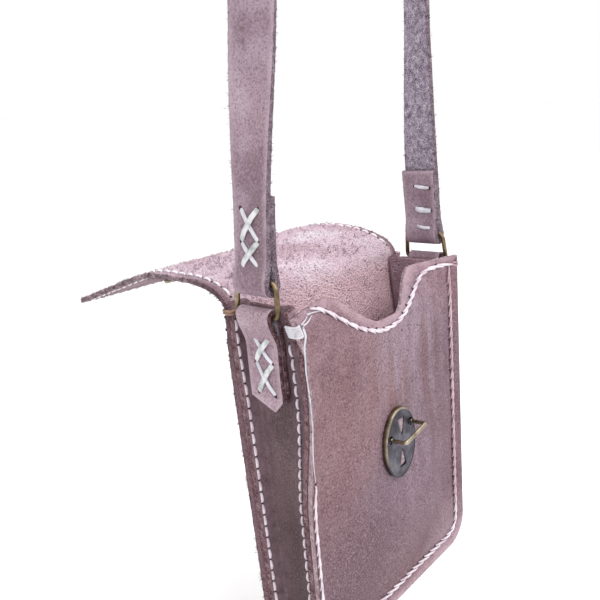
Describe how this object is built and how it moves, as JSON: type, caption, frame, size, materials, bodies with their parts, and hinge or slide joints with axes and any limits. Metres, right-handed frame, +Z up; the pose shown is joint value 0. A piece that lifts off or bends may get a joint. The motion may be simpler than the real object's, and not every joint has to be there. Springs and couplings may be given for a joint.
{
  "type": "phone bag",
  "caption": "Small stitched leather shoulder bag for a phone, hung by its strap, with an open flap, side gusset, ring-held strap and an oval brass clasp.",
  "frame": {"origin": "under the strap's top, where the bag hangs from a peg, hand or shoulder", "axes": "+Z up along the plumb strap, -Y out of the front panel's side, +X to the bag's right as seen from the front"},
  "size_m": [0.1452, 0.2047, 0.6717],
  "materials": {
    "grain_leather": "matte oiled grain",
    "gusset_leather": "matte oiled grain, darker",
    "antique_brass": "antique",
    "dark_brass": "antique, darkened",
    "waxed_thread": "waxed"
  },
  "bodies": {
    "bag": {"front_panel": "grain_leather", "back_flap": "grain_leather", "gusset": "gusset_leather", "strap": "grain_leather", "tab_left": "grain_leather", "tab_right": "grain_leather", "ring_left": "antique_brass", "ring_right": "antique_brass", "clasp_plate": "dark_brass", "flap_plate": "antique_brass"},
    "clasp_bow": {"clasp_loop": "antique_brass"}
  },
  "joints": [
    {"name": "clasp_fold", "type": "hinge", "parent": "bag", "child": "clasp_bow", "pos_m": [0.0002, -0.03388, -0.56376], "axis": [0.9823, 0.014, 0.1868], "range_deg": [-42, 58]}
  ]
}
